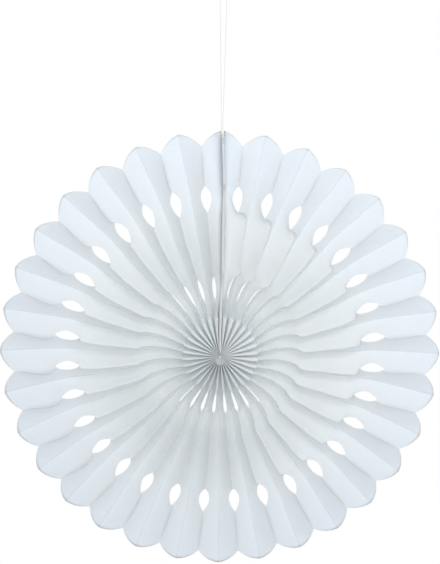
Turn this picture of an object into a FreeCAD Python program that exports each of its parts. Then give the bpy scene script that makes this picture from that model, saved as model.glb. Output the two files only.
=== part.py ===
import FreeCAD, Part
import math
import os
import Sketcher
from FreeCAD import Vector

# Paper fan rosette: an accordion of die-cut tissue opened out to a full ring. Its two end
# leaves are pasted to cover cards that meet face to face at the top, and it hangs on a loop.
# Millimetres. The ring faces -Y, +Z is up, and the origin is the middle of the hub.

os.makedirs("parts", exist_ok=True)
doc = FreeCAD.newDocument("paper_fan_rosette")

# Driving dimensions
sheet = doc.addObject("Spreadsheet::Sheet", "sizes")
driving = {
    "tip_radius": 200,          # hub to the tip of a petal, along a valley fold
    "petals": 32,
    "petal_length": 13.5,       # from the end of a ridge fold, where two petals part, to a tip
    "leaf_spare": 0.9,          # a leaf's width past half the pitch at the tips
    "leaf_thickness": 0.3,
    "petal_bulge": 1.7,         # rise of a petal's rounded edge above its chord
    "fold_spans": 7,            # flat facets that follow the curve of a ridge fold
    "cut_chords": 5,            # straight cuts that follow a rounded edge of the sheet
    "lens_margin": 48,          # from a tip to the outer cut in each ridge fold, a lens
    "lens_length": 25,
    "lens_cut": 6.8,
    "slot_inner_radius": 34,    # the inner cut in each ridge fold, which opens as a slit
    "slot_outer_radius": 75,
    "slot_step": 3,
    "slot_bulge": 4.4,          # rise of the slot's rounded edge above its chord
    "core_radius": 4.2,         # where the inner ends of the leaves are pressed together
    "core_overlap": 1.05,       # how far the leaves reach into the core
    "dish_radius": 8.5,
    "dish_depth": 3.5,
    "card_thickness": 0.7,
    "card_inner_radius": 9,
    "tape_thickness": 0.2,
    "tape_inner_radius": 20,
    "tape_end_margin": 2.5,     # from the end of the ridge folds to the tape
    "tape_width": 10,
    "tape_back_margin": 1.5,    # from the cards' back edge to the tape
    "splay_length": 13,         # from the tip, the length over which the two cards lean apart
    "splay": 1.5,
    "knot_diameter": 1.8,
    "knot_height": 2.4,
    "knot_flat_diameter": 1.4,
    "knot_drop": 4.4,           # from the tip to the middle of the knot
    "knot_back_margin": 3.5,    # from the cards' back edge to the middle of the knot
    "thread_diameter": 0.6,
}
for row, (alias, value) in enumerate(driving.items(), start=1):
    sheet.set(f"A{row}", alias.replace("_", " "))
    sheet.set(f"B{row}", str(value))
    sheet.setAlias(f"B{row}", alias)
doc.recompute()


# Sizes that follow from the driving ones
derived = {
    "leaf_width": "sizes.tip_radius * sin(180 / sizes.petals) + sizes.leaf_spare",
    "ridge_end_radius": "sizes.tip_radius - sizes.petal_length",
    "lens_outer_radius": "sizes.tip_radius - sizes.lens_margin",
    "lens_inner_radius": "sizes.tip_radius - sizes.lens_margin - sizes.lens_length",
    "splay_radius": "sizes.tip_radius - sizes.splay_length",
    "tape_outer_radius": "sizes.tip_radius - sizes.petal_length - sizes.tape_end_margin",
    "knot_radius": "sizes.tip_radius - sizes.knot_drop",
}


def in_driving_sizes(text):
    for name, formula in derived.items():
        text = text.replace(f"sizes.{name}", f"({formula})")
    return text


def size(name):
    return float(sheet.evalExpression(in_driving_sizes(f"sizes.{name}")))


petals = int(size("petals"))
half_pitch = math.pi / petals
half_width = size("leaf_width") / 2
stack_half = size("tape_thickness") / 2 + size("card_thickness")
reach = size("tip_radius") + size("leaf_width")


def flat_face(points):
    return Part.Face(Part.makePolygon(points + points[:1]))


def front_prism(points):
    # A closed outline drawn on the ring's plane, carried through the whole depth of the folds.
    outline = flat_face(points)
    outline.translate(Vector(0, -size("leaf_width"), 0))
    return outline.extrude(Vector(0, 2 * size("leaf_width"), 0))


# Pleated tissue
# Half a pleat, from its ridge fold to its valley fold. The leaf keeps its width, so while the
# half pitch grows with the radius its depth shrinks along a quarter of an ellipse. The valley
# folds stay in one plane at the back.

def plan(radius, cut=0.0):
    # A point of the leaf, given by its distance from the hub and from the ridge fold, as seen
    # from the front once the leaf has opened out. The ridge fold lies along +X.
    spread = radius * math.tan(half_pitch) / size("leaf_width")
    return Vector(radius, 0, cut * spread)


def rounded(first, last, bulge):
    # An arc between two points of the leaf, as the short straight cuts that follow it.
    start = Vector(*first, 0)
    end = Vector(*last, 0)
    across = Vector(start.y - end.y, end.x - start.x, 0).normalize()
    bow = Part.Arc(start, (start + end) * 0.5 + across * bulge, end).toShape()
    return [plan(point.x, point.y) for point in bow.discretize(int(size("cut_chords")) + 1)]


def leaf_section(radius):
    pitch = radius * math.tan(half_pitch)
    depth = math.sqrt(size("leaf_width") ** 2 - pitch ** 2)
    mitre = size("leaf_thickness") * size("leaf_width") / (2 * pitch)
    ridge = half_width - depth
    return [
        Vector(radius, ridge - mitre, 0),
        Vector(radius, half_width - mitre, pitch),
        Vector(radius, half_width + mitre, pitch),
        Vector(radius, ridge + mitre, 0),
    ]


def fold_radii():
    full = size("leaf_width") / math.tan(half_pitch)
    outermost = size("tip_radius") * math.cos(half_pitch) + size("leaf_thickness")
    last = math.asin(outermost / full)
    spans = int(size("fold_spans"))
    inner = size("core_radius") - size("core_overlap")
    return [inner] + [full * math.sin(last * n / spans) for n in range(1, spans + 1)]


def half_leaf():
    sections = [leaf_section(radius) for radius in fold_radii()]
    faces = [flat_face(sections[0]), flat_face(sections[-1])]
    for near, far in zip(sections, sections[1:]):
        # Each side of a span is two flat facets, split from the near ridge to the far valley.
        faces.append(flat_face([near[0], near[1], far[1]]))
        faces.append(flat_face([near[0], far[1], far[0]]))
        faces.append(flat_face([near[3], near[2], far[2]]))
        faces.append(flat_face([near[3], far[2], far[3]]))
        faces.append(flat_face([near[1], near[2], far[2], far[1]]))
        faces.append(flat_face([near[3], near[0], far[0], far[3]]))
    solid = Part.Solid(Part.Shell(faces))
    if solid.Volume < 0:
        solid.reverse()
    return solid


def lens_cutter():
    inner = (size("lens_inner_radius"), 0)
    outer = (size("lens_outer_radius"), 0)
    return front_prism(rounded(inner, outer, size("lens_cut")))


def slot_cutter():
    inner = size("slot_inner_radius")
    step = (inner, size("slot_step"))
    outer = (size("slot_outer_radius"), 0)
    return front_prism(rounded(step, outer, size("slot_bulge")) + [plan(inner)])


def rim_cutter():
    notch = (size("ridge_end_radius"), 0)
    tip = (size("tip_radius") * math.cos(half_pitch), size("leaf_width"))
    edge = rounded(notch, tip, -size("petal_bulge"))
    beyond = [Vector(edge[-1].x, 0, reach), Vector(reach, 0, reach), Vector(reach, 0, -reach)]
    beyond.append(Vector(edge[0].x, 0, -reach))
    return front_prism(edge + beyond)


def dish_points():
    # Half the hub's section: the leaves' inner corners run down into a shallow dish.
    floor = half_width - size("dish_depth")
    slope = (size("dish_radius") - size("core_radius")) / size("dish_depth")
    outside = size("leaf_width")
    edge = size("dish_radius") + slope * (outside - half_width)
    return [(0, floor), (size("core_radius"), floor), (edge, outside), (0, outside)]


def dish_cutter(side):
    profile = flat_face([Vector(x, side * y, -reach) for x, y in dish_points()])
    return profile.extrude(Vector(0, 0, 2 * reach))


def trimmed_half_leaf():
    front = half_width + size("leaf_thickness") / 2
    leaf = half_leaf().common(Part.makeBox(reach, 2 * front, reach, Vector(0, -front, 0)))
    for cutter in (lens_cutter(), slot_cutter(), rim_cutter(), dish_cutter(-1), dish_cutter(1)):
        leaf = leaf.cut(cutter)
    return leaf


def core_sector():
    # The wedge of the pressed core that belongs to half a pleat.
    radius = size("core_radius")
    height = size("leaf_width") - 2 * size("dish_depth")
    base = flat_face([Vector(), Vector(radius, 0, 0), plan(radius, size("leaf_width"))])
    base.translate(Vector(0, -height / 2, 0))
    return base.extrude(Vector(0, height, 0))


touching = 1e-6
sewing_reach = 1e-4


def on_plane(face, normal):
    return all(abs(vertex.Point.dot(normal)) < touching for vertex in face.Vertexes)


def ring_of_leaves():
    # The half pleat and its mirror image, without the faces on their two planes of symmetry,
    # are turned round the hub and sewn into one closed sheet.
    leaf = trimmed_half_leaf().fuse(core_sector())
    ridge_plane = Vector(0, 0, 1)
    valley_plane = Vector(-math.sin(half_pitch), 0, math.cos(half_pitch))
    skin = [face for face in leaf.Faces
            if not on_plane(face, ridge_plane) and not on_plane(face, valley_plane)]
    half = Part.makeCompound(skin)
    pleat = Part.makeCompound([half, half.mirror(Vector(), ridge_plane)])
    faces = []
    for number in range(petals):
        turned = pleat.copy()
        turned.rotate(Vector(), Vector(0, 1, 0), math.degrees(half_pitch) * (2 * number + 1))
        faces.extend(turned.Faces)
    sewn = Part.makeCompound(faces)
    sewn.sewShape(sewing_reach)
    solid = Part.Solid(sewn.Shells[0])
    if solid.Volume < 0:
        solid.reverse()
    return solid


# Sketched pieces

def origin_plane(body, role):
    return [item for item in body.Origin.OriginFeatures if item.Role == role][0]


def outline_sketch(body, role, name, corners):
    # A closed outline from its corners, each a pair of expressions, with a third one for the
    # bulge where the edge that leaves the corner is an arc. Arcs bulge to the right.
    corners = [[in_driving_sizes(text) for text in corner] for corner in corners]
    sketch = body.newObject("Sketcher::SketchObject", name)
    sketch.AttachmentSupport = [(origin_plane(body, role), "")]
    sketch.MapMode = "FlatFace"
    spots = [Vector(*[float(sketch.evalExpression(text)) for text in corner[:2]], 0)
             for corner in corners]
    for number, corner in enumerate(corners):
        start = spots[number]
        end = spots[(number + 1) % len(spots)]
        if len(corner) == 2:
            sketch.addGeometry(Part.LineSegment(start, end))
            continue
        bulge = float(sketch.evalExpression(corner[2]))
        across = Vector(end.y - start.y, start.x - end.x, 0).normalize()
        sketch.addGeometry(Part.Arc(start, (start + end) * 0.5 + across * bulge, end))
    ends = []
    for number, corner in enumerate(corners):
        edge = sketch.Geometry[number]
        at_start = (edge.StartPoint - spots[number]).Length < touching
        ends.append((1, 2) if at_start else (2, 1))
    for number, corner in enumerate(corners):
        following = (number + 1) % len(corners)
        joint = (number, ends[number][1], following, ends[following][0])
        sketch.addConstraint(Sketcher.Constraint("Coincident", *joint))
        point = (number, ends[number][0])
        for kind, text, value in zip(("DistanceX", "DistanceY"), corner, spots[number]):
            index = sketch.addConstraint(Sketcher.Constraint(kind, -1, 1, *point, value))
            sketch.setExpression(f"Constraints[{index}]", text)
        if len(corner) == 3:
            chord = f"(({corners[following][0]}) - ({corner[0]}))^2"
            chord += f" + (({corners[following][1]}) - ({corner[1]}))^2"
            radius = f"(({chord}) / 4 + ({corner[2]})^2) / (2 * ({corner[2]}))"
            value = sketch.Geometry[number].Radius
            index = sketch.addConstraint(Sketcher.Constraint("Radius", number, value))
            sketch.setExpression(f"Constraints[{index}]", radius)
    return sketch


def pad(body, sketch, length):
    feature = body.newObject("PartDesign::Pad", f"{sketch.Name}_pad")
    feature.Profile = sketch
    feature.SideType = "Symmetric"
    feature.setExpression("Length", in_driving_sizes(length))
    sketch.Visibility = False
    return feature


def pocket(body, sketch, length):
    feature = body.newObject("PartDesign::Pocket", f"{sketch.Name}_pocket")
    feature.Profile = sketch
    feature.SideType = "Symmetric"
    feature.setExpression("Length", in_driving_sizes(length))
    sketch.Visibility = False
    return feature


# Seam at the top
# Each cover card is a flat strip that stands square to the ring, with its back edge in the
# valley. Near the tip the two cards lean apart, which leaves room for the knot. The sheet's
# end leaves are pasted to the outside of the cards.

def strip_corners(side, near, far):
    # The strip's outline seen from the front, between two distances from the seam's plane.
    inner = "sizes.card_inner_radius"
    bend = "sizes.splay_radius"
    tip = "sizes.tip_radius"
    lean = "sizes.splay"
    corners = [(near, inner), (far, inner), (far, bend), (f"{far} + {lean}", tip)]
    corners += [(f"{near} + {lean}", tip), (near, bend)]
    return [(f"{side} * ({across})", up) for across, up in corners]


def die_cut_strip(label, side, near, far):
    # A straight strip, bent near its tip, with the same cuts as every leaf of the sheet.
    body = doc.addObject("PartDesign::Body", label)
    body.Label = label
    strip = outline_sketch(body, "XZ_Plane", f"{label}_strip", strip_corners(side, near, far))
    pad(body, strip, "sizes.leaf_width")
    front = "-sizes.leaf_width / 2"
    back = "sizes.leaf_width / 2"
    far_front = "-sizes.leaf_width"
    through = f"4 * ({far} + sizes.splay)"
    cuts = {
        "lens": [
            (front, "sizes.lens_inner_radius", "sizes.lens_cut"),
            (front, "sizes.lens_outer_radius"),
            (far_front, "sizes.lens_outer_radius"),
            (far_front, "sizes.lens_inner_radius"),
        ],
        "slot": [
            (f"{front} + sizes.slot_step", "sizes.slot_inner_radius", "sizes.slot_bulge"),
            (front, "sizes.slot_outer_radius"),
            (far_front, "sizes.slot_outer_radius"),
            (far_front, "sizes.slot_inner_radius"),
        ],
        "rim": [
            (back, "sizes.tip_radius", "sizes.petal_bulge"),
            (front, "sizes.ridge_end_radius"),
            (far_front, "sizes.ridge_end_radius"),
            (far_front, "sizes.tip_radius * 2"),
            (back, "sizes.tip_radius * 2"),
        ],
    }
    for name, corners in cuts.items():
        pocket(body, outline_sketch(body, "YZ_Plane", f"{label}_{name}", corners), through)
    return body


def bar(label, role, corners, length):
    body = doc.addObject("PartDesign::Body", label)
    body.Label = label
    pad(body, outline_sketch(body, role, f"{label}_outline", corners), length)
    return body


inner_face = "sizes.tape_thickness / 2"
outer_face = f"{inner_face} + sizes.card_thickness"
pasted_face = f"{outer_face} + sizes.leaf_thickness"

die_cut_strip("cover_card_left", -1, inner_face, outer_face)
die_cut_strip("cover_card_right", 1, inner_face, outer_face)

tape_back = "sizes.leaf_width / 2 - sizes.tape_back_margin"
tape_front = f"{tape_back} - sizes.tape_width"
tape_corners = [
    (tape_front, "sizes.tape_inner_radius"),
    (tape_back, "sizes.tape_inner_radius"),
    (tape_back, "sizes.tape_outer_radius"),
    (tape_front, "sizes.tape_outer_radius"),
]
bar("seam_tape", "YZ_Plane", tape_corners, "sizes.tape_thickness")

# The sheet is parted along its top valley fold, where the cards stand, and each of the two
# edges goes on as an end leaf.
ring = doc.addObject("Part::Feature", "leaf_ring")
ring.Shape = ring_of_leaves()
across_gap = strip_corners(1, "0", outer_face)[1:4]
across_gap += [(f"-({x})", z) for x, z in reversed(across_gap)]
gap = bar("seam_gap", "XZ_Plane", across_gap, "2 * sizes.leaf_width")
parted = doc.addObject("Part::Cut", "parted_ring")
parted.Base = ring
parted.Tool = gap
tissue = doc.addObject("Part::MultiFuse", "pleated_tissue")
tissue.Label = "pleated_tissue"
tissue.Shapes = [
    parted,
    die_cut_strip("end_leaf_left", -1, outer_face, pasted_face),
    die_cut_strip("end_leaf_right", 1, outer_face, pasted_face),
]


# Thread loop
# The knot sits between the leaning tips of the cards, and both strands rise from its top.

def thread_knot():
    body = doc.addObject("PartDesign::Body", "thread_knot")
    body.Label = "thread_knot"
    rim = "sizes.knot_flat_diameter / 2"
    top = "sizes.knot_height / 2"
    belly = "(sizes.knot_diameter - sizes.knot_flat_diameter) / 2"
    corners = [("0", f"-{top}"), (rim, f"-{top}", belly), (rim, top), ("0", top)]
    profile = outline_sketch(body, "XZ_Plane", "knot_profile", corners)
    turned = body.newObject("PartDesign::Revolution", "knot_turned")
    turned.Profile = profile
    turned.ReferenceAxis = (profile, ["V_Axis"])
    turned.Angle = 360
    back = "sizes.leaf_width / 2 - sizes.knot_back_margin"
    body.setExpression(".Placement.Base.y", in_driving_sizes(back))
    body.setExpression(".Placement.Base.z", in_driving_sizes("sizes.knot_radius"))
    return body


thread_knot()

# The route of the loop, from the top of the knot: across, forward and up.
strand_rise = [
    (-0.42, 0.0, 0.0), (-0.90, 0.3, 24.0), (-1.75, 0.1, 58.0), (-2.45, -0.2, 90.0),
    (-2.80, -0.1, 108.0), (-2.95, 0.0, 118.0),
]
loop_top = [(-2.95, 0.0, 123.2), (-1.22, 0.0, 124.95), (1.22, 0.0, 124.95), (2.95, 0.0, 123.2)]
strand_fall = [
    (2.92, 0.0, 118.0), (2.75, 0.1, 108.0), (2.30, 0.3, 88.0), (1.55, 0.1, 55.0),
    (0.80, -0.2, 25.0), (0.42, 0.0, 0.0),
]


turn_share = 0.45  # how much of the shorter run beside a corner its arc takes


def tangent_path(points):
    # Straight runs joined by arcs, each as large as its two runs allow.
    edges = []
    radii = []
    last = points[0]
    for before, corner, after in zip(points, points[1:], points[2:]):
        back = (before - corner).normalize()
        ahead = (after - corner).normalize()
        half_turn = (math.pi - back.getAngle(ahead)) / 2
        leg = turn_share * min((before - corner).Length, (after - corner).Length)
        radius = leg / math.tan(half_turn)
        start = corner + back * leg
        end = corner + ahead * leg
        middle_way = (back + ahead).normalize()
        to_centre = math.hypot(leg, radius)
        middle = corner + middle_way * (to_centre - radius)
        edges.append(Part.LineSegment(last, start).toShape())
        edges.append(Part.Arc(start, middle, end).toShape())
        radii.append(radius)
        last = end
    edges.append(Part.LineSegment(last, points[-1]).toShape())
    return Part.Wire(edges), radii


knot_top = size("knot_radius") + size("knot_height") / 2
foot = Vector(0, half_width - size("knot_back_margin"), knot_top)
route = [foot + Vector(*offset) for offset in strand_rise + loop_top + strand_fall]
path, radii = tangent_path(route)
thread_radius = size("thread_diameter") / 2
start_circle = Part.Wire(Part.makeCircle(thread_radius, route[0], route[1] - route[0]))
tube = path.makePipeShell([start_circle], True, True)
thread = doc.addObject("Part::Feature", "hanging_thread")
thread.Label = "hanging_thread"
thread.Shape = tube
section = math.pi * thread_radius ** 2
print("thread length", round(path.Length, 2), "smallest radius", round(min(radii), 2))
print("thread volume", round(tube.Volume, 3), "against", round(section * path.Length, 3))

doc.recompute()
node_names = [
    "pleated_tissue", "cover_card_left", "cover_card_right", "seam_tape", "thread_knot",
    "hanging_thread",
]
for item in doc.Objects:
    if "Invalid" in item.State or "Error" in item.State:
        raise RuntimeError(f"{item.Name} failed")
for name in node_names:
    shape = doc.getObject(name).Shape
    if shape.isNull() or not shape.isValid() or len(shape.Solids) != 1:
        raise RuntimeError(f"{name} is not one valid solid")
for name in node_names:
    shape = doc.getObject(name).Shape
    shape.exportStep(f"parts/{name}.step")
    print(name, "volume", round(shape.Volume, 2), "faces", len(shape.Faces))
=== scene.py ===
import math

import bmesh
import bpy
import numpy as np
from mathutils import Matrix, Vector


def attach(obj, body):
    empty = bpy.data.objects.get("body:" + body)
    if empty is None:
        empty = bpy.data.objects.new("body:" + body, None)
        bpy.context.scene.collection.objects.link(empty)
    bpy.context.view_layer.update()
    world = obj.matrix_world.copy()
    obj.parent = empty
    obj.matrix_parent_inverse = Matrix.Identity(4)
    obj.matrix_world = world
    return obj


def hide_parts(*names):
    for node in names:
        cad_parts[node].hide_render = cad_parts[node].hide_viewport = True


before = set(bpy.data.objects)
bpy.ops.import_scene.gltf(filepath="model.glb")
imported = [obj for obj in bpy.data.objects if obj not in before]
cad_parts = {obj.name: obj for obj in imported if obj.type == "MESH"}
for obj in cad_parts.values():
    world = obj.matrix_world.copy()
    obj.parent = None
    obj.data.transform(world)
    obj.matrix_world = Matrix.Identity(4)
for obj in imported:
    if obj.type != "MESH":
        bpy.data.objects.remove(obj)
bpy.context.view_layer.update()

# Pleated tissue rosette on a thread loop. Metres, with the hub's middle at the origin, the
# front towards -Y and the seam at the top.


def addObject(name, data):
    # puts a mesh, curve, camera or lamp in the scene
    obj = bpy.data.objects.new(name, data)
    bpy.context.scene.collection.objects.link(obj)
    return obj


# Camera, at the photograph's angle
camera = {
    "azimuth": -0.88,      # degrees round the fan
    "elevation": 11.61,
    "distance": 1.189,     # from the hub
    "aim": (-0.0008, 0.0, 0.0646),
    "roll": 0.57,          # degrees
    "lens": 84.0,          # mm, as is the sensor's height
    "sensor": 36,
    "clipEnd": 20,
}


def makeCamera(c):
    # spot = distance (sin az cos el, -cos az cos el, sin el); right and up stand square to the
    # line of sight and are turned about it by the roll
    az, el, roll = (math.radians(c[k]) for k in ("azimuth", "elevation", "roll"))
    spot = c["distance"] * Vector((math.sin(az) * math.cos(el), -math.cos(az) * math.cos(el),
                                   math.sin(el)))
    ahead = (Vector(c["aim"]) - spot).normalized()
    right = ahead.cross(Vector((0, 0, 1))).normalized()
    up = right.cross(ahead)
    tilted = math.cos(roll) * right + math.sin(roll) * up
    upright = math.cos(roll) * up - math.sin(roll) * right
    data = bpy.data.cameras.new("photoCamera")
    data.sensor_fit = "VERTICAL"
    data.sensor_height = c["sensor"]
    data.lens = c["lens"]
    data.clip_end = c["clipEnd"]
    obj = addObject("photoCamera", data)
    turn = Matrix((tilted, upright, -ahead)).transposed()
    obj.matrix_world = Matrix.Translation(spot) @ turn.to_4x4()
    bpy.context.scene.camera = obj


makeCamera(camera)
print("camera stands")


# Node helpers, for the materials and the world
black, white = (0, 0, 0, 1), (1, 1, 1, 1)


def newMaterial(name):
    # a material with an empty node tree
    mat = bpy.data.materials.new(name)
    mat.use_nodes = True
    mat.node_tree.nodes.clear()
    return mat


def node(owner, kind, **values):
    # a new node, with each value set on the input of that name, or else on the node
    n = owner.node_tree.nodes.new("ShaderNode" + kind)
    for key, value in values.items():
        if key in n.inputs:
            n.inputs[key].default_value = value
        else:
            setattr(n, key, value)
    return n


def link(owner, a, b):
    # output a feeds input b
    owner.node_tree.links.new(a, b)


def feed(owner, value, socket):
    # an output is linked to the socket, and a plain value is set on it
    if isinstance(value, bpy.types.NodeSocket):
        link(owner, value, socket)
    else:
        socket.default_value = value


def srgb(*rgb):
    # 0-255 to linear: c / 12.92 up to 0.04045, and ((c + 0.055) / 1.055)^2.4 above
    c = np.asarray(rgb, float) / 255
    lin = np.where(c <= 0.04045, c / 12.92, ((c + 0.055) / 1.055) ** 2.4)
    return (*lin.tolist(), 1.0)


def ramp(mat, stops, source):
    # colours between (place, colour) stops, straight from one to the next
    n = node(mat, "ValToRGB")
    link(mat, source, n.inputs[0])
    e = n.color_ramp.elements
    while len(e) < len(stops):
        e.new(0.5)
    for item, (place, colour) in zip(e, stops):
        item.position = place
        item.color = colour
    return n.outputs[0]


def mottle(mat, source, tones):
    # from one sRGB tone to the other where the noise runs from 0.3 to 0.7
    low, high = tones
    return ramp(mat, [(0.3, srgb(*low)), (0.7, srgb(*high))], source)


def blend(mat, factor, a, b, kind="MIX"):
    # a where factor is 0; where it is 1, b, or a * b if kind is MULTIPLY
    n = node(mat, "Mix", data_type="RGBA", blend_type=kind)
    for socket, value in (("Factor", factor), (6, a), (7, b)):
        feed(mat, value, n.inputs[socket])
    return n.outputs[2]


def layered(owner, factor, a, b):
    # shader a where factor is 0, and shader b where it is 1
    n = node(owner, "MixShader")
    feed(owner, factor, n.inputs[0])
    link(owner, a.outputs[0], n.inputs[1])
    link(owner, b.outputs[0], n.inputs[2])
    return n


def fibres(mat, coords, **values):
    # noise that stays fixed to the piece
    n = node(mat, "TexNoise", **values)
    link(mat, coords.outputs["Object"], n.inputs["Vector"])
    return n.outputs[0]


def emboss(mat, shader, height, strength, distance):
    # bump of this many metres
    bump = node(mat, "Bump", Strength=strength, Distance=distance)
    link(mat, height, bump.inputs["Height"])
    link(mat, bump.outputs[0], shader.inputs["Normal"])


def seenStraight(owner):
    # 1 for rays from the camera, off a gloss or through a clear piece, and 0 for the rest
    rays = node(owner, "LightPath")
    first = node(owner, "Math", operation="MAXIMUM")
    link(owner, rays.outputs["Is Camera Ray"], first.inputs[0])
    link(owner, rays.outputs["Is Glossy Ray"], first.inputs[1])
    either = node(owner, "Math", operation="MAXIMUM")
    link(owner, first.outputs[0], either.inputs[0])
    link(owner, rays.outputs["Is Transmission Ray"], either.inputs[1])
    return either.outputs[0]


def finishMaterial(mat, shader):
    # the shader becomes the surface
    out = node(mat, "OutputMaterial")
    link(mat, shader.outputs[0], out.inputs[0])
    return mat


# Thread loop
thread = {
    "foot": (0.0, 0.00675, 0.1968),     # top of the knot, in metres like the next two
    "diameter": 0.0006,
    "length": 0.2534,
    # the route, mm from the foot
    "rise": [(-0.42, 0.0, 0.0), (-0.90, 0.3, 24.0), (-1.75, 0.1, 58.0), (-2.45, -0.2, 90.0),
             (-2.80, -0.1, 108.0), (-2.95, 0.0, 118.0)],
    "top": [(-2.95, 0.0, 123.2), (-1.22, 0.0, 124.95), (1.22, 0.0, 124.95),
            (2.95, 0.0, 123.2)],
    "fall": [(2.92, 0.0, 118.0), (2.75, 0.1, 108.0), (2.30, 0.3, 88.0), (1.55, 0.1, 55.0),
             (0.80, -0.2, 25.0), (0.42, 0.0, 0.0)],
    "colour": srgb(251, 251, 250),
    "shade": 0.93,                      # the darker fibres' share of it
}


def threadMaterial(t):
    # fine fibres, between the colour and shade * colour
    mat = newMaterial("twistedThread")
    coords = node(mat, "TexCoord")
    twist = fibres(mat, coords, Scale=2600.0, Detail=3.0, Roughness=0.6)
    low = tuple(t["shade"] * v for v in t["colour"][:3]) + (1.0,)
    tone = ramp(mat, [(0.3, low), (0.7, t["colour"])], twist)
    shader = node(mat, "BsdfPrincipled", Roughness=0.75)
    shader.inputs["Specular IOR Level"].default_value = 0.3
    shader.inputs["Sheen Weight"].default_value = 0.3
    link(mat, tone, shader.inputs["Base Color"])
    emboss(mat, shader, twist, 0.5, 0.0001)
    return finishMaterial(mat, shader)


def makeThread(t):
    # a round tube along a quadratic spline through the route's points
    offsets = np.array(t["rise"] + t["top"] + t["fall"]) / 1000
    route = offsets + np.array(t["foot"])
    data = bpy.data.curves.new("thread_loop", "CURVE")
    data.dimensions = "3D"
    data.bevel_depth = t["diameter"] / 2
    data.bevel_resolution = 3
    data.use_fill_caps = True
    spline = data.splines.new("NURBS")
    spline.points.add(len(route) - 1)
    spline.points.foreach_set("co", np.c_[route, np.ones(len(route))].ravel())
    spline.order_u = 3
    spline.use_endpoint_u = True
    spline.resolution_u = 12
    obj = addObject("thread_loop", data)
    data.materials.append(threadMaterial(t))
    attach(obj, "root")
    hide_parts("hanging_thread")


makeThread(thread)
print("thread hangs")


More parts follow.
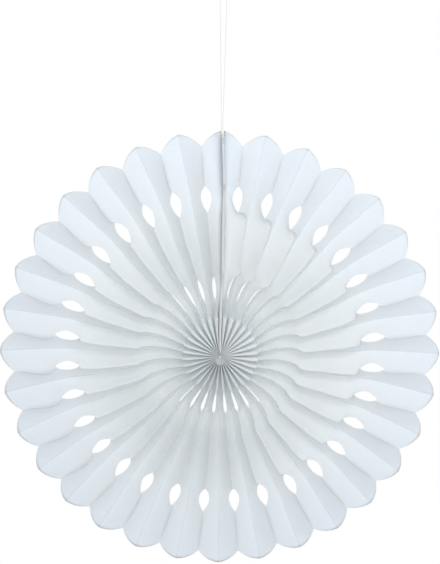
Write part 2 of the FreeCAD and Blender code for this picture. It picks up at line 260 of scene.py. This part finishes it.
# Pleated tissue. Sizes and radii are in mm.
tissue = {
    "pleats": 32,
    "leafWidth": 20.5,                    # ridge to valley
    "thickness": 0.1,
    "notchRadius": 186.5,                 # where two petals part
    "tipRadius": 200.0,
    "petalCurve": 0.85,                   # how round a petal's edge is
    "lens": (126.4, 149.4, 7.3),          # window: from, to, depth
    "slot": (34.0, 34.5, 60.0, 74.0),     # slit: start, first step, full depth, end
    "slotDepth": (3.2, 7.2),              # at the step, and in full
    "dish": (5.0, 1.2, 1.2),              # from, to, depth
    # rows of points (from, to, count), close together where a cut starts or ends
    "rows": [(1.1, 6, 4), (6, 33.6, 9), (33.6, 34.8, 4), (34.8, 62, 9), (62, 74.4, 8),
             (74.4, 125.4, 12), (125.4, 127.2, 5), (127.2, 147.8, 11),
             (147.8, 150.2, 4), (150.2, 186.5, 9)],
    "petalRows": 5,
    "across": (0, 0.018, 0.045, 0.09, 0.18, 0.34, 0.56, 0.78, 1),
    "weld": 2e-6,                         # metres, as is the next
    "speck": 1e-7,
    "foldAngle": 25,                      # degrees: steeper folds are crisp
    "leafAngle": 60,                      # and so are steeper edges within a leaf
    "seed": 7,
    # how far each ridge flops over clockwise between its two cuts, from 3 o'clock round the top
    "lean": (4.2, 5.2, 3.0, 4.0, 6.0, 8.6, 9.2, 9.6, 0.0, 0.0, -0.5, -0.8, -1.5, -1.6, -1.5, -1.5,
             -1.2, -1.0, -0.8, -0.6, -0.4, 0.0, 0.0, 0.3, 1.2, 2.2, 3.2, 4.0, 4.6, 4.9, 5.7, 5.9),
    "leanEarly": (30, 50, 0.08),          # from, to: this share of it sets in
    "leanLate": (62, 74.2),               # the rest, as the slit ends
    "leanEnd": (125.9, 126.9),            # upright again at the window
    "leanSpread": 30,                     # how much wider these three spread at the valley
    "leanDepth": (0.65, 3.0),             # share of it that narrows the depth, and least depth
    "wave": (0.35, 190),                  # seeded waves: height, length
    "waveSpan": (8, 60, 150, 186),        # they grow, stay and fade
    "bow": (0.28, 20, 90),                # seeded bow of a leaf: height, from, full
    "droop": (0.5, 1.2),                  # seeded weight of the hooks past the windows
    "hook": (1.2, 4.2, 0.2),              # on the right, on the left, reach across the leaf
    "hookStart": (148.6, 156, 8),         # from, to, and how much wider at the valley
    "roll": (60, 80, 0.05),               # the ridge rolls: from, full, reach
    "curlEnd": (158, 186),                # hooks and rolls fade out here
    "spring": (2.4, 0.1),                 # a window's edge springs back: height, reach
    "windowSpan": (126.2, 127.2, 148, 149.6),     # grows, stays and fades
    "windowShut": 0.14,                   # at the sides the windows shut by this share
    "pinch": (0.32, 0.85),                # slits shut where gravity pulls a leaf on the next one
    "slitOpen": (52.5, 7.5, 12),          # middle, how much further out at the top, half length
    "slitEnds": (0.55, 1.0),              # shares of that half length between which it shuts
    "slitShare": (1, 0.38, 0.8),          # how open: below, at the upper right, the upper left
    "nose": (0.38, 0.17, 0.03),           # round ridges near the hub: width as a share of the
                                          # half pitch, more of it towards noseTurn, reach
    "noseTurn": 50,                       # degrees
    "noseEnd": (30, 4, 41, -5),           # from (+ so much towards noseTurn), to (+ so much)
    # at the seam
    "seamHalf": 0.95,                     # half the stack of cards that stands in it
    "seamStart": (1, 10),                 # heights between which the stack opens
    "seamReach": 5,                       # how far to either side the leaves give way
    "pastedFrom": 8,                      # nearer the hub the end leaves close up
    "pasted": (10, 20, 60, 0.35),         # the leaves beside them stand so much further forward
                                          # at the valley: depth, from, full, reach
    "splay": (187.0, 6.0, 1.5),           # the tips open from here, in front so much later, so far
    "splayDepth": (-3, 5),                # y between which front turns to back
    "bendAt": (0, 25, 45, 62, 125, 150, 174, 190, 200),     # heights
    "bendBy": (0, -0.3, 0.3, 1.3, 1.5, 2.0, 1.1, 0.4, 0.3),   # how far right the stack stands
    # how the whole fan hangs
    "sagAt": (0, 28, 50, 75, 110, 139, 160, 200),           # radii
    "sagBy": (-1.8, -1.6, 0.6, 0.2, -0.4, 1.5, 0.9, -1.3),    # how far up these are moved
    "lift": (105, 135, 152, 176),         # the extra lift at the top grows, stays and fades
    # colours; places are shares of the tip radius, or of the way across a leaf
    "sheer": 0.50,                        # share of the light that the tissue lets through
    # bluish white, lighter near the hub as painted light and a little darker round the middle as
    # painted shade
    "tones": [(0.0, (250, 251, 251.5)), (0.25, (247.8, 249.7, 250.3)),
              (0.48, (245.3, 247.6, 248.6)), (0.68, (246.3, 249.3, 251.3)),
              (1.0, (245, 249, 253))],
    "cutTone": (226, 226, 222),
    # painted shade along the ridge and valley folds
    "paintedFoldShade": [(0.0, (0.95, 0.955, 0.96, 1)), (0.012, white), (0.965, white),
                (1.0, (0.91, 0.92, 0.925, 1))],
    # painted shade in a band beside each ridge past the windows
    "ridgeShadeWidth": 0.13,
    "ridgeShadeRing": (0.74, 0.79, 0.88, 0.93),
    "ridgeShadeTone": (0.93, 0.932, 0.925, 1),
    "cloudTone": (0.975, 0.976, 0.977, 1),
}


def smooth(a, b, x):
    # 0 below a, 1 above b, and 3t^2 - 2t^3 between
    t = np.clip((x - a) / (b - a), 0, 1)
    return t * t * (3 - 2 * t)


def byPleat(values):
    # one value for each pleat, shaped as pleat, side, row, column
    return np.asarray(values)[:, None, None, None]


def rowRadii(t):
    # radii of the rows up to the notch, evenly spread in each span
    rows = [np.linspace(a, b, n, endpoint=False) for a, b, n in t["rows"]]
    return np.concatenate(rows + [[t["notchRadius"]]])


def cutDepth(r, t):
    # mm cut off a leaf's ridge side at radius r: dish + slot + lens, each 0 outside its range
    rim, core, deep = t["dish"]
    dish = deep * np.clip((rim - r) / (rim - core), 0, 1)
    a, b, c, d = t["slot"]
    step, full = t["slotDepth"]
    slot = np.where(r < b, step * (r - a) / (b - a),
                    step + (full - step) * np.sin(np.clip((r - b) / (c - b), 0, 1) * np.pi / 2))
    slot = np.where(r > c, full * (1 - np.clip((r - c) / (d - c), 0, 1) ** 1.5), slot)
    slot = np.where((r > a) & (r < d), slot, 0)
    lo, hi, high = t["lens"]
    mid = (r - (lo + hi) / 2) / ((hi - lo) / 2)
    lens = np.where(np.abs(mid) < 1, high * np.clip(1 - np.abs(mid) ** 2, 0, 1) ** 0.95, 0)
    return dish + slot + lens


def leafGrid(t):
    # (radius, share of the width from ridge to valley, 1 on a cut edge) on one leaf, as 2-D
    # arrays. Past the notch the rows fan out to the petal's edge, f(v) = v(1 + k(1 - v)).
    r = rowRadii(t)
    s = np.array(t["across"])
    cut = cutDepth(r, t)
    v0 = cut / t["leafWidth"]
    v = v0[:, None] + (1 - v0[:, None]) * s[None, :]
    radius = np.repeat(r[:, None], len(s), 1)
    tip = t["tipRadius"] * math.cos(math.pi / t["pleats"]) - t["notchRadius"]
    edge = tip * s * (1 + t["petalCurve"] * (1 - s))
    q = np.linspace(0, 1, t["petalRows"] + 1)[1:]
    radius = np.vstack([radius, t["notchRadius"] + q[:, None] * edge[None, :]])
    v = np.vstack([v, np.repeat(s[None, :], t["petalRows"], 0)])
    onEdge = np.zeros_like(v)
    onEdge[:len(r), 0] = cut > 1e-6
    onEdge[-1, :] = 1
    return radius, v, onEdge


def inWindow(r, t):
    # 1 along a window and 0 past its ends
    a, b, c, d = t["windowSpan"]
    return smooth(a, b, r) * (1 - smooth(c, d, r))


def ridgeShift(r, v, wobble, t):
    # mm a ridge stands aside: -lean * share + sum of h sin(k pi r / L). The share rises to 1 by
    # the slit's end and drops to 0 where the window starts.
    start, full, early = t["leanEarly"]
    (a, b), (c, d), spread = t["leanLate"], t["leanEnd"], t["leanSpread"] * v
    share = early * smooth(start, full, r) + (1 - early) * smooth(a - spread, b + spread, r)
    share = share * (1 - smooth(c - spread, d + spread, r))
    waves = sum(byPleat(wobble[:, k]) * np.sin(math.pi * (k + 1) * r / t["wave"][1])
                for k in range(wobble.shape[1]))
    grow, stay, fade, end = t["waveSpan"]
    return -byPleat(t["lean"]) * share + waves * smooth(grow, stay, r) * (1 - smooth(fade, end, r))


def edgeCurl(r, v, th, droop, t):
    # mm the ridge side curls down, (hook + roll - spring) (1 - v): it hooks over past a window,
    # rolls between the cuts and springs back along a window, each as cos(angle) exp(-v / reach)
    right, left, hookReach = t["hook"]
    a, b, spread = t["hookStart"]
    hook = np.where(droop > 0, right, left) * droop * smooth(a - spread * v, b + spread * v, r)
    window = inWindow(r, t)
    start, full, rollReach = t["roll"]
    roll = (1 - window) * smooth(start, full, r) * np.cos(th) * np.exp(-v / rollReach)
    curl = (hook * np.exp(-v / hookReach) + roll) * (1 - smooth(*t["curlEnd"], r))
    high, reach = t["spring"]
    return (curl - window * np.cos(th) * high * np.exp(-v / reach)) * (1 - v)


def cutShut(r, th, t):
    # 0 to 1, how far a cut is drawn shut: a slit at both its ends and towards the sides of the
    # fan, and a window by a share of cos(angle)^2
    middle, higher, half = t["slitOpen"]
    ends = smooth(*t["slitEnds"], np.abs(r - middle - higher * np.sin(th)) / half)
    shut = np.maximum(smooth(*t["pinch"], np.abs(np.cos(th))), ends)
    below, right, left = t["slitShare"]
    shut = 1 - (1 - shut) * np.where(np.sin(th) < 0, below, np.where(np.cos(th) > 0, right, left))
    window = inWindow(r, t) * t["windowShut"] * np.cos(th) ** 2
    return np.where((r < t["slot"][0]) | (r > t["slot"][-1]), window, shut)


def ridgeNose(r, v, v0, th, t):
    # share of the half pitch by which a ridge is rounded: wide (1 - exp(-(v - v0) / reach))
    # (1 - v), which fades out away from the hub
    turn = np.cos(th - math.radians(t["noseTurn"]))
    middle, more, reach = t["nose"]
    a, aTurn, b, bTurn = t["noseEnd"]
    wide = (middle + more * turn) * (1 - smooth(a + aTurn * turn, b + bTurn * turn, r))
    return wide * (1 - np.exp(-(v - v0) / reach)) * (1 - v)


def leafSurface(t):
    # Point = r * out + x * across + y * back, where the leaf keeps its width w: half pitch
    # p = r tan(a), depth = sqrt(w^2 - (p + lean)^2), y = w / 2 - depth (1 - v)
    count = t["pleats"]
    rng = np.random.default_rng(t["seed"])
    droop = rng.uniform(*t["droop"], count)
    wobble = rng.normal(0, t["wave"][0], (count, 3))
    height, bowStart, bowFull = t["bow"]
    bow = rng.normal(0, height, (count, 2))[:, :, None, None]
    w, a = t["leafWidth"], math.pi / count
    radius, v, onEdge = leafGrid(t)
    r = radius[None, None]                                   # pleat, side, row, column
    side = np.array([-1.0, 1.0])[None, :, None, None]
    th = byPleat((2 * np.arange(count) + 1) * a)
    p = r * math.tan(a)
    ridge = ridgeShift(r, v, wobble, t)
    pull, least = t["leanDepth"]
    depth = np.sqrt(np.maximum(w * w - (p + np.abs(ridge) * pull) ** 2, least ** 2))
    v0 = v[:, :1] + 0 * v
    shut = cutShut(r, th, t) * v0 * (1 - v) / (1 - v0 + 1e-9)
    curl = edgeCurl(r, v, th, byPleat(droop) * np.cos(th), t)
    x = ridge * (1 - v) - curl + side * p * (v - shut + ridgeNose(r, v, v0, th, t))
    y = w / 2 - depth * (1 - v) + bow * np.sin(math.pi * v) * smooth(bowStart, bowFull, r)
    out = np.stack([np.cos(th), 0 * th, np.sin(th)], -1)
    across = np.stack([-np.sin(th), 0 * th, np.cos(th)], -1)
    back = np.array([0.0, 1.0, 0.0])
    point = r[..., None] * out + x[..., None] * across + y[..., None] * back
    point[..., 2] += sag(r, point[..., 2] / r, t)
    # the leaves beside the seam are pasted forward of the back edge, by 0 at their ridges
    beside = count // 4 - 1
    deep, start, full, reach = t["pasted"]
    forward = deep * smooth(start, full, radius) * (np.exp((v - 1) / reach) - math.exp(-1 / reach))
    point[beside, 1, ..., 1] -= forward
    point[beside + 1, 0, ..., 1] -= forward
    mark = np.broadcast_to(onEdge, point.shape[:4])
    fold = np.broadcast_to(v, point.shape[:4])
    return point, mark, fold


def openSeam(point, leftOfSeam, t):
    # Leaves beside the seam make room for the cards: |x| grows by h exp(-|x| / reach), and all
    # of them follow the seam's bend
    x, z = point[..., 0], point[..., 2]
    room = t["seamHalf"] * smooth(*t["seamStart"], z) + splayed(point[..., 1], z, t)
    sign = np.where(leftOfSeam, -1.0, 1.0)
    near = np.exp(-np.abs(x) / t["seamReach"]) * (z > 0)
    point[..., 0] = x + (sign * room + seamBend(z, t)) * near


def sag(r, up, t):
    # mm: the heavy middle hangs a little lower, and so do the tips; up = sin(angle) lifts the
    # row of windows by as much as 1 mm at the top
    a, b, c, d = t["lift"]
    lift = np.maximum(up, 0) * smooth(a, b, r) * (1 - smooth(c, d, r))
    return lift + np.interp(r, t["sagAt"], t["sagBy"])


def splayed(y, z, t):
    # mm the stack's tips stand open: s (z - z0) / (tip - z0), with z0 higher up in front
    start, later, width = t["splay"]
    begin = start + later * (1 - smooth(*t["splayDepth"], y))
    return width * np.clip((z - begin) / (t["tipRadius"] - begin), 0, 1)


def seamBend(z, t):
    # the pasted stack isn't quite straight: mm it stands to the right at height z
    return np.interp(z, t["bendAt"], t["bendBy"])


def pastedLeaf(sign, t):
    # an end leaf, flat on the outside of a card: x = +-h, y = w (v - 1/2), z = r / cos(a)
    radius, v, onEdge = leafGrid(t)
    z = radius / math.cos(math.pi / t["pleats"])
    end = np.stack([0 * z, t["leafWidth"] * (v - 0.5), z], -1)
    openSeam(end, np.full(z.shape, sign < 0), t)
    end[..., 2] += sag(radius, 1, t)
    closed = sign * t["seamHalf"] * radius / t["pastedFrom"]
    end[..., 0] = np.where(radius > t["pastedFrom"], end[..., 0], closed)
    return end, onEdge, v


def gridFaces(leaves, rows, columns, flip):
    # quads of each leaf's grid, wound the other way where flip is set
    index = np.arange(leaves * rows * columns).reshape(leaves, rows, columns)
    q = np.stack([index[:, :-1, :-1], index[:, 1:, :-1], index[:, 1:, 1:], index[:, :-1, 1:]], -1)
    q = np.where(flip[:, None, None, None], q[..., ::-1], q)
    return q.reshape(-1, 4)


def weldGrids(name, leaves, flip, layers, weld):
    # A mesh of the leaves' grids in metres, and the same in a bmesh with shared corners welded
    faces = gridFaces(*leaves.shape[:3], flip)
    mesh = bpy.data.meshes.new(name)
    mesh.from_pydata((leaves.reshape(-1, 3) / 1000).tolist(), [], faces.tolist())
    for key, values in layers.items():
        layer = mesh.attributes.new(key, "FLOAT", "POINT")
        layer.data.foreach_set("value", values.astype(np.float32).ravel())
    bm = bmesh.new()
    bm.from_mesh(mesh)
    bmesh.ops.remove_doubles(bm, verts=bm.verts, dist=weld)
    return mesh, bm


def storeSmooth(mesh, bm):
    # the bmesh goes back into the mesh, with every face shaded softly
    for face in bm.faces:
        face.smooth = True
    bm.to_mesh(mesh)
    bm.free()


def addWall(obj, thickness):
    # a wall of this many mm, half of it on either side of the surface
    wall = obj.modifiers.new("wall", "SOLIDIFY")
    wall.thickness = thickness / 1000
    wall.offset = 0


def makeTissue(t):
    # All the free leaves and the two pasted ones, welded along their folds
    point, mark, fold = leafSurface(t)
    rows, columns = mark.shape[2:]
    middle = point.mean(axis=(2, 3))[..., 0]
    openSeam(point, np.broadcast_to((middle < 0)[:, :, None, None], mark.shape), t)
    ends = [pastedLeaf(sign, t) for sign in (-1.0, 1.0)]
    leaves, marks, folds = (
        np.concatenate([grid.reshape(-1, rows, columns, *grid.shape[4:]), np.stack(pair)])
        for grid, pair in zip((point, mark, fold), zip(*ends)))
    flip = np.tile([True, False], t["pleats"] + 1)
    mesh, bm = weldGrids("pleated_sheet", leaves, flip, {"cutEdge": marks, "acrossLeaf": folds},
                         t["weld"])
    bmesh.ops.dissolve_degenerate(bm, edges=bm.edges, dist=t["speck"])
    # folds stay crisp, the rest of a leaf bends softly
    share = bm.verts.layers.float["acrossLeaf"]
    for edge in bm.edges:
        onFold = all(not 0.001 < corner[share] < 0.999 for corner in edge.verts)
        limit = math.radians(t["foldAngle"] if onFold else t["leafAngle"])
        if len(edge.link_faces) == 2 and edge.calc_face_angle(0) > limit:
            edge.smooth = False
    storeSmooth(mesh, bm)
    obj = addObject("pleated_sheet", mesh)
    addWall(obj, t["thickness"])
    mesh.materials.append(tissueMaterial(t))
    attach(obj, "root")
    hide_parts("pleated_tissue")
    print("sheet has", len(mesh.vertices), "points and", len(mesh.polygons), "faces")


def tissueMaterial(t):
    # tone by distance (partly painted light and shade) * cut line * painted fold shade * painted
    # ridge shade * clouds, half matt and half sheer
    mat = newMaterial("paleTissue")
    coords = node(mat, "TexCoord")
    # distance from the hub, 0 to 1 at the tips
    flat = node(mat, "VectorMath", operation="MULTIPLY")
    scale = 1000 / t["tipRadius"]
    flat.inputs[1].default_value = (scale, 0.0, scale)
    link(mat, coords.outputs["Object"], flat.inputs[0])
    length = node(mat, "VectorMath", operation="LENGTH")
    link(mat, flat.outputs[0], length.inputs[0])
    away = length.outputs["Value"]
    # bluish white, lighter near the hub as painted light and a little darker round the middle as
    # painted shade
    tone = ramp(mat, [(place, srgb(*rgb)) for place, rgb in t["tones"]], away)
    # thin darker line where the sheet is cut
    cut = node(mat, "Attribute", attribute_name="cutEdge")
    edge = ramp(mat, [(0.0, black), (0.82, black), (1.0, white)], cut.outputs["Fac"])
    tone = blend(mat, edge, tone, srgb(*t["cutTone"]))
    # creases: painted shade, a little darker along the ridge and valley folds
    across = node(mat, "Attribute", attribute_name="acrossLeaf")
    foldShade = ramp(mat, t["paintedFoldShade"], across.outputs["Fac"])
    tone = blend(mat, 1.0, tone, foldShade, "MULTIPLY")
    # past the windows a band beside each ridge is a shade greyer: painted shade under the ridges
    ridge = ramp(mat, [(0.0, white), (t["ridgeShadeWidth"], black)], across.outputs["Fac"])
    ring = ramp(mat, list(zip(t["ridgeShadeRing"], (black, white, white, black))), away)
    ridgeShade = node(mat, "Math", operation="MULTIPLY")
    link(mat, ridge, ridgeShade.inputs[0])
    link(mat, ring, ridgeShade.inputs[1])
    tone = blend(mat, ridgeShade.outputs[0], tone, t["ridgeShadeTone"], "MULTIPLY")
    # clouded fibres
    cloud = fibres(mat, coords, Scale=420.0, Detail=5.0, Roughness=0.65)
    shade = ramp(mat, [(0.25, t["cloudTone"]), (0.75, white)], cloud)
    tone = blend(mat, 1.0, tone, shade, "MULTIPLY")
    shader = node(mat, "BsdfPrincipled", Roughness=0.88)
    shader.inputs["Specular IOR Level"].default_value = 0.15
    link(mat, tone, shader.inputs["Base Color"])
    through = node(mat, "BsdfTranslucent")
    link(mat, tone, through.inputs["Color"])
    crepe = fibres(mat, coords, Scale=160.0, Detail=6.0, Roughness=0.6)
    emboss(mat, shader, crepe, 0.35, 0.0006)
    return finishMaterial(mat, layered(mat, t["sheer"], shader, through))


makeTissue(tissue)
print("tissue pleated")


# Pressed core, where the inner corners of all the leaves are glued together
core = {
    "radius": 4.4,             # mm
    "half": 8.7,               # half its length, at the middle
    "fall": 1.5,               # how far each blunt end slopes back towards its rim
    "power": 1.5,
    "below": 0.9,              # share by which it reaches further down
    "rings": 12,
    "steps": 128,
    "tones": ((218, 225, 227), (236, 241, 242)),
}


def makeCore(c, t):
    # y = half - fall (r/R)^power at either end, with a plain wall from rim to rim; wider below
    k = np.linspace(0, 1, c["rings"])
    front = np.c_[c["radius"] * k, c["fall"] * k ** c["power"] - c["half"]]
    outline = np.r_[front, front[::-1] * (1, -1)]
    angle = np.linspace(0, 2 * np.pi, c["steps"] + 1)[:-1]
    r, y = outline[:, :1], outline[:, 1:] + 0 * angle
    r = r * (1 + c["below"] * np.maximum(-np.sin(angle), 0) ** 2)
    points = np.stack([r * np.cos(angle), y, r * np.sin(angle) + sag(0, 0, t)], -1) / 1000
    n, m = y.shape
    index = np.arange(n * m).reshape(n, m)
    nxt = np.roll(index, -1, 1)
    quads = np.stack([index[:-1], nxt[:-1], nxt[1:], index[1:]], -1).reshape(-1, 4)
    mesh = bpy.data.meshes.new("pressed_core")
    mesh.from_pydata(points.reshape(-1, 3).tolist(), [], quads.tolist())
    bm = bmesh.new()
    bm.from_mesh(mesh)
    bmesh.ops.remove_doubles(bm, verts=bm.verts, dist=1e-6)
    bmesh.ops.recalc_face_normals(bm, faces=bm.faces)
    storeSmooth(mesh, bm)
    obj = addObject("pressed_core", mesh)
    mesh.materials.append(coreMaterial(c))
    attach(obj, "root")


def coreMaterial(c):
    # matt fibres, between two tones
    mat = newMaterial("pressedTissue")
    coords = node(mat, "TexCoord")
    fibre = fibres(mat, coords, Scale=1500.0, Detail=5.0, Roughness=0.7)
    shader = node(mat, "BsdfPrincipled", Roughness=0.8)
    shader.inputs["Specular IOR Level"].default_value = 0.2
    link(mat, mottle(mat, fibre, c["tones"]), shader.inputs["Base Color"])
    emboss(mat, shader, fibre, 0.5, 0.0002)
    return finishMaterial(mat, shader)


makeCore(core, tissue)
print("core pressed")


# Cover cards: two strips of thin card on edge, die-cut like the leaves, with the tape between
# them. The knot keeps its solid.
cards = {
    "thickness": 0.80,         # mm
    "middle": 0.42,            # seam's plane to the middle of a card
    "inner": 3.2,              # where a card starts, measured from the hub
    "tones": ((243, 245, 245), (250, 251, 251)),
    "greyTips": ((0.188, 0.198), (0.66, 0.65, 0.63, 1)),      # from, to in metres, tone at the tips
    "sheer": 0.12,
    "tapeThickness": 0.03,
    "tapeColumns": (1, 8),     # it stops short of the front and back edges
    "tapeTones": ((222, 220, 212), (234, 232, 226)),
    "tapeSheer": 0.6,
}


def stripPiece(name, points, thickness, flip, mat, replaced, weld):
    # a grid of points in mm with a wall of the given thickness
    mesh, bm = weldGrids(name, points[None], np.array([flip]), {}, weld)
    storeSmooth(mesh, bm)
    obj = addObject(name, mesh)
    addWall(obj, thickness)
    mesh.materials.append(mat)
    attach(obj, "root")
    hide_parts(replaced)


def makeCards(c, t):
    # The plane x = m + splay + bend(z), y across from front (v = 0) to back (v = 1), z = radius,
    # with the leaf's own cuts; the tape has m = 0 and ends below the open tips.
    radius, v = leafGrid(t)[:2]
    keep = radius[:, 0] >= c["inner"]
    radius, v = radius[keep], v[keep]
    z = radius / math.cos(math.pi / t["pleats"])
    y = t["leafWidth"] * (v - 0.5)
    x = c["middle"] * smooth(*t["seamStart"], z) + splayed(y, z, t)
    hung = z + sag(radius, 1, t)
    mat = cardMaterial(c)
    for side, sign in (("left", -1), ("right", 1)):
        points = np.stack([sign * x + seamBend(z, t), y, hung], -1)
        stripPiece(f"card_strip_{side}", points, c["thickness"], sign < 0, mat,
                   f"cover_card_{side}", t["weld"])
    points = np.stack([seamBend(z, t), y, hung], -1)
    short = radius[:, -1] <= t["notchRadius"]
    points = points[short, slice(*c["tapeColumns"])]
    stripPiece("tape_strip", points, c["tapeThickness"], False, tapeMaterial(c), "seam_tape",
               t["weld"])


def cardMaterial(c):
    # matt pulp, a little sheer, greyed towards the tips
    mat = newMaterial("coverCard")
    coords = node(mat, "TexCoord")
    pulp = fibres(mat, coords, Scale=900.0, Detail=5.0, Roughness=0.7)
    away = node(mat, "VectorMath", operation="LENGTH")
    link(mat, coords.outputs["Object"], away.inputs[0])
    (start, end), grey = c["greyTips"]
    greyTips = ramp(mat, [(start, white), (end, grey)], away.outputs["Value"])
    tone = blend(mat, 1.0, mottle(mat, pulp, c["tones"]), greyTips, "MULTIPLY")
    shader = node(mat, "BsdfPrincipled", Roughness=0.8)
    shader.inputs["Specular IOR Level"].default_value = 0.25
    link(mat, tone, shader.inputs["Base Color"])
    emboss(mat, shader, pulp, 0.3, 0.0002)
    through = node(mat, "BsdfTranslucent")
    link(mat, tone, through.inputs["Color"])
    return finishMaterial(mat, layered(mat, c["sheer"], shader, through))


def tapeMaterial(c):
    # hazy film, more sheer than not
    mat = newMaterial("pasteTape")
    coords = node(mat, "TexCoord")
    tone = mottle(mat, fibres(mat, coords, Scale=300.0, Detail=3.0), c["tapeTones"])
    shader = node(mat, "BsdfPrincipled", Roughness=0.35)
    link(mat, tone, shader.inputs["Base Color"])
    through = node(mat, "BsdfTranslucent")
    link(mat, tone, through.inputs["Color"])
    return finishMaterial(mat, layered(mat, c["tapeSheer"], shader, through))


def dress(name, mat):
    # a solid that stays gets this material only
    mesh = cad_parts[name].data
    mesh.materials.clear()
    mesh.materials.append(mat)


makeCards(cards, tissue)
dress("thread_knot", threadMaterial(thread))
print("cards and knot dressed")


# Floor, world and lamps
studio = {
    "floorHeight": -0.75,
    "floorRadius": 1.25,
    "floorSides": 96,
    "floorWhite": 0.85,        # share of plain white; the rest keeps the shadow
    "ambient": 0.40,
    "ambientTint": (1, 1, 0.975),
    "lampTint": (0.985, 0.99, 1),
    "lamps": [
        # place, aim, size, watts
        ((0.05, -0.85, 0.21), (0, 0, 0.05), 0.5, 2.5),
        ((0.25, -0.85, 0.75), (0, 0, 0.05), 0.4, 3.2),
    ],
    # light passes many layers of tissue before it leaves the folds
    "allBounces": 32,
    "bounces": 28,
}


def makeFloor(s):
    # a flat disc, mostly plain white where it is seen straight and matt for all other light
    n = s["floorSides"]
    angle = np.linspace(0, 2 * np.pi, n + 1)[:-1]
    points = np.c_[s["floorRadius"] * np.cos(angle), s["floorRadius"] * np.sin(angle),
                   np.full(n, s["floorHeight"])]
    mesh = bpy.data.meshes.new("floor")
    mesh.from_pydata(points.tolist(), [], [list(range(n))])
    obj = addObject("floor", mesh)
    mat = newMaterial("paleFloor")
    part = node(mat, "Math", operation="MULTIPLY")
    part.inputs[1].default_value = s["floorWhite"]
    link(mat, seenStraight(mat), part.inputs[0])
    matt = node(mat, "BsdfDiffuse", Color=(0.9, 0.9, 0.9, 1))
    plain = node(mat, "Emission", Color=white, Strength=1.0)
    mesh.materials.append(finishMaterial(mat, layered(mat, part.outputs[0], matt, plain)))


def makeWorld(s):
    # plain white where it is seen straight, and a soft tinted light for all the rest
    world = bpy.data.worlds.new("studioWorld")
    bpy.context.scene.world = world
    world.use_nodes = True
    world.node_tree.nodes.clear()
    soft = node(world, "Background", Color=(*s["ambientTint"], 1), Strength=s["ambient"])
    plain = node(world, "Background", Color=white, Strength=1.0)
    out = node(world, "OutputWorld")
    mix = layered(world, seenStraight(world), soft, plain)
    link(world, mix.outputs[0], out.inputs[0])


def makeLamps(s):
    # soft discs of light, each turned from its place to its aim
    for number, (place, aim, width, watts) in enumerate(s["lamps"]):
        data = bpy.data.lights.new(f"softLamp{number}", "AREA")
        data.shape = "DISK"
        data.size = width
        data.energy = watts
        data.color = s["lampTint"]
        obj = addObject(f"softLamp{number}", data)
        obj.location = place
        obj.rotation_euler = (Vector(aim) - Vector(place)).to_track_quat("-Z", "Y").to_euler()
        obj.visible_camera = False


makeFloor(studio)
makeWorld(studio)
makeLamps(studio)
scene = bpy.context.scene
scene.view_settings.view_transform = "Standard"
scene.cycles.max_bounces = studio["allBounces"]
scene.cycles.diffuse_bounces = scene.cycles.transmission_bounces = studio["bounces"]
print("studio lit")
